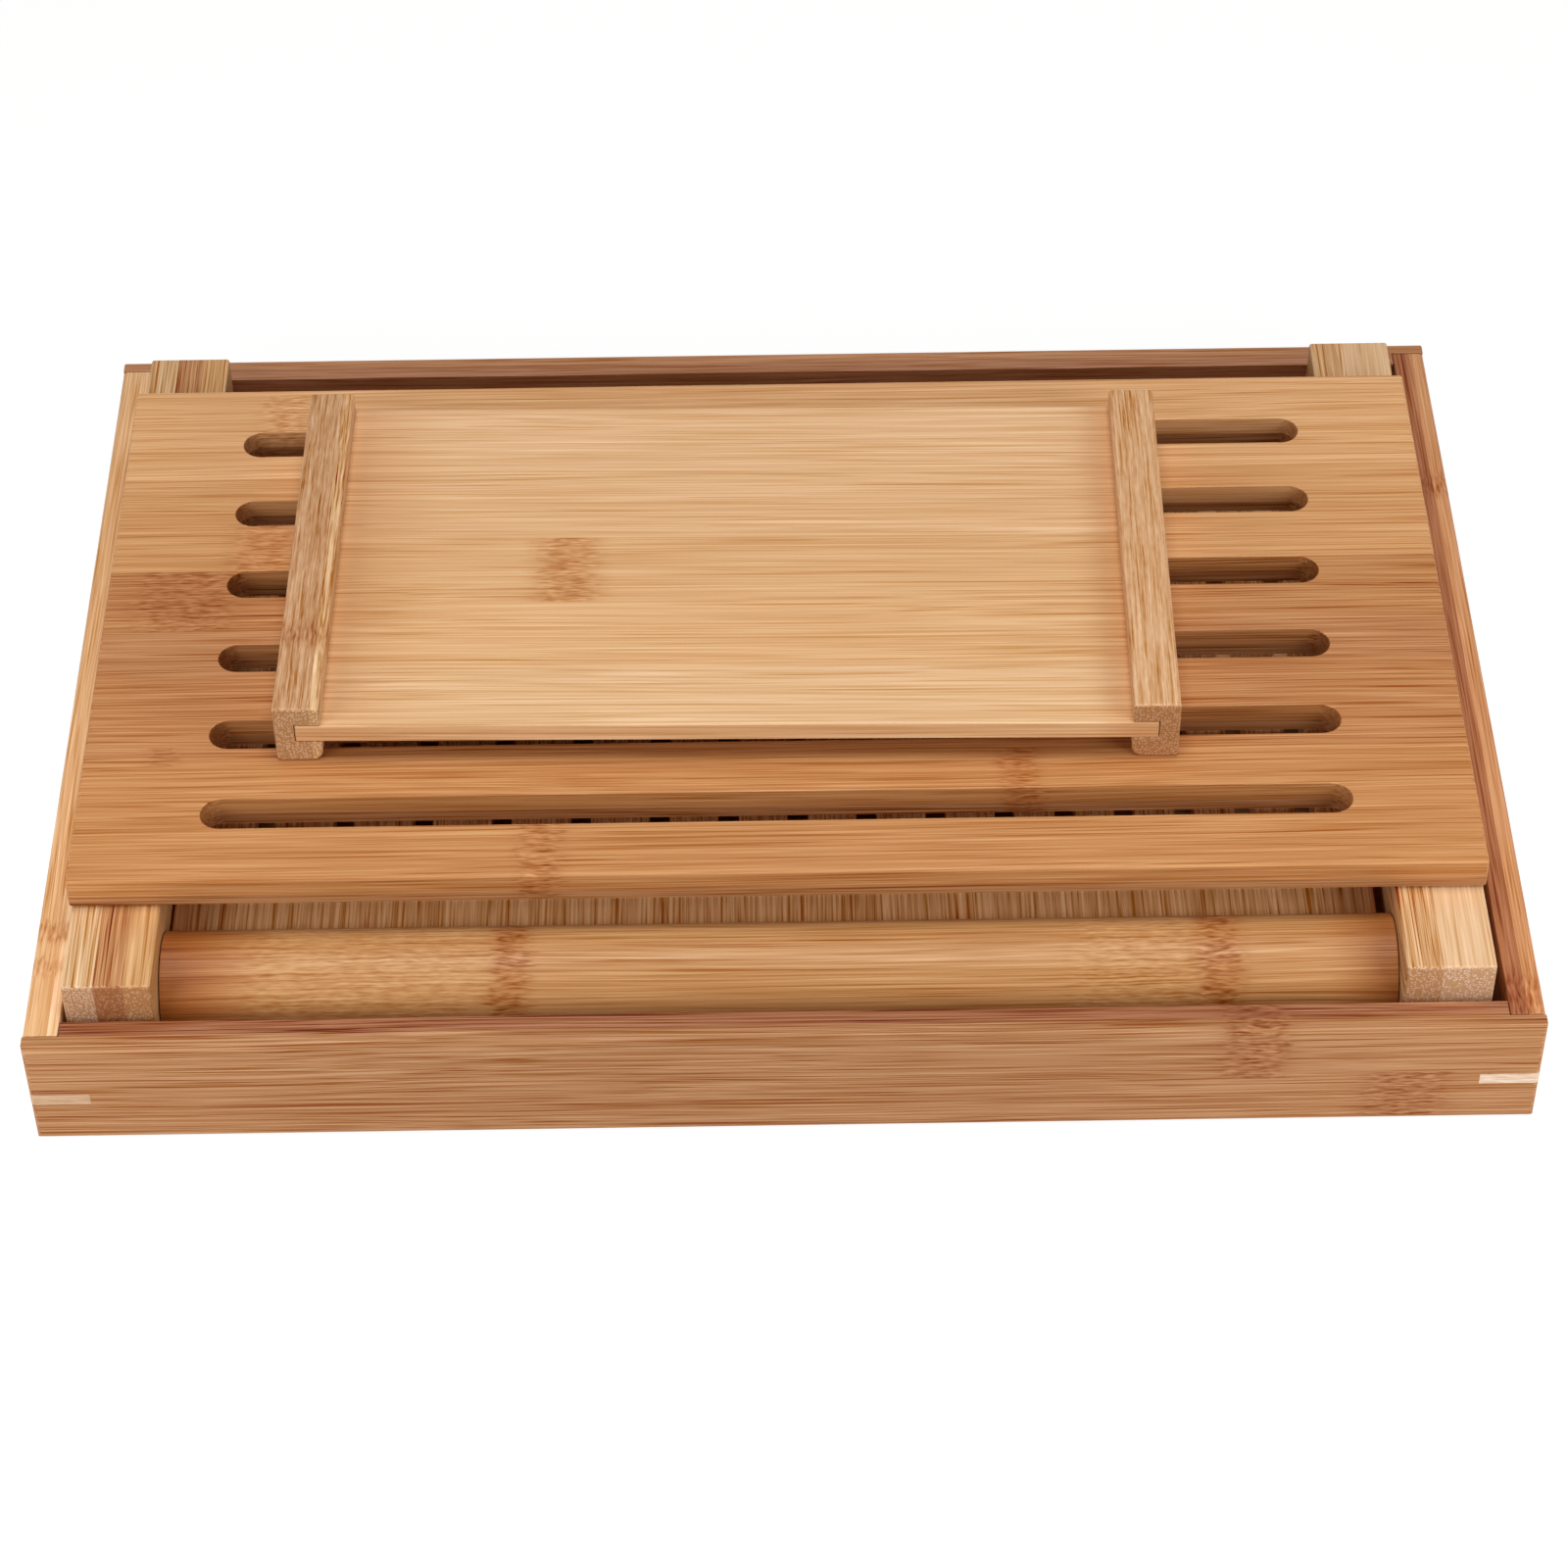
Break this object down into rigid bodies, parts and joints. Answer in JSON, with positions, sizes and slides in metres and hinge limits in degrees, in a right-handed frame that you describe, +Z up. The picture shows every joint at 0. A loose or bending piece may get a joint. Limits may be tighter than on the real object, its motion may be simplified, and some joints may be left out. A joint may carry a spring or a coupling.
{
  "type": "bread slicing guide",
  "caption": "Folding bread slicing guide of bamboo, packed flat: a slotted board and loose pusher on a railed frame with a hinged knife comb, in a crumb tray.",
  "frame": {"origin": "on the table, under the middle of the crumb tray", "axes": "+X along the guide's bar, to the right; -Y to the front, where the bar is; +Z up"},
  "size_m": [0.32, 0.225, 0.0607],
  "materials": {
    "tray_walls": "caramelised bamboo, oiled, fine grain along each wall",
    "tray_floor": "caramelised bamboo, oiled",
    "corner_keys": "pale bamboo end grain",
    "rails": "bamboo strips glued side by side, oiled",
    "ties": "bamboo, oiled",
    "dowels": "plain round dowel",
    "bar": "turned bamboo, oiled, satin",
    "comb": "bamboo, grain along the slots",
    "board": "edge-glued bamboo strips, oiled, satin",
    "pusher_panel": "pale bamboo, oiled, satin",
    "pusher_rails": "coarse bamboo strips, oiled"
  },
  "bodies": {
    "tray": {"tray_floor": "tray_floor", "tray_front_wall": "tray_walls", "tray_back_wall": "tray_walls", "tray_left_wall": "tray_walls", "tray_right_wall": "tray_walls", "corner_key_front_left": "corner_keys", "corner_key_front_right": "corner_keys", "corner_key_back_left": "corner_keys", "corner_key_back_right": "corner_keys"},
    "frame": {"rail_left": "rails", "rail_right": "rails", "tie_middle": "ties", "tie_rear": "ties", "dowel_middle_front_left": "dowels", "dowel_middle_front_right": "dowels", "dowel_middle_back_left": "dowels", "dowel_middle_back_right": "dowels", "dowel_rear_front_left": "dowels", "dowel_rear_front_right": "dowels", "dowel_rear_back_left": "dowels", "dowel_rear_back_right": "dowels", "peg_front_left": "dowels", "peg_front_right": "dowels", "peg_back_left": "dowels", "peg_back_right": "dowels"},
    "guide": {"guide_bar": "bar", "guide_comb": "comb", "hinge_pin_left": "dowels", "hinge_pin_right": "dowels"},
    "board": {"slotted_board": "board"},
    "pusher": {"pusher_panel": "pusher_panel", "pusher_rail_left": "pusher_rails", "pusher_rail_right": "pusher_rails"}
  },
  "joints": [
    {"name": "frame_lift", "type": "slide", "parent": "tray", "child": "frame", "axis": [0, 0, 1], "range_m": [0, 0.1]},
    {"name": "board_lift", "type": "slide", "parent": "frame", "child": "board", "axis": [0, 0, 1], "range_m": [0, 0.26]},
    {"name": "guide_swing", "type": "hinge", "parent": "frame", "child": "guide", "pos_m": [-0.00095, -0.0877, 0.02029], "axis": [1, 0, 0], "range_deg": [0, 90]},
    {"name": "pusher_lift", "type": "slide", "parent": "board", "child": "pusher", "axis": [0, 0, 1], "range_m": [0, 0.1]}
  ],
  "couplings": [
    {"joint": "guide_swing", "follows": "board_lift", "rad_per_m": 6.04}
  ]
}
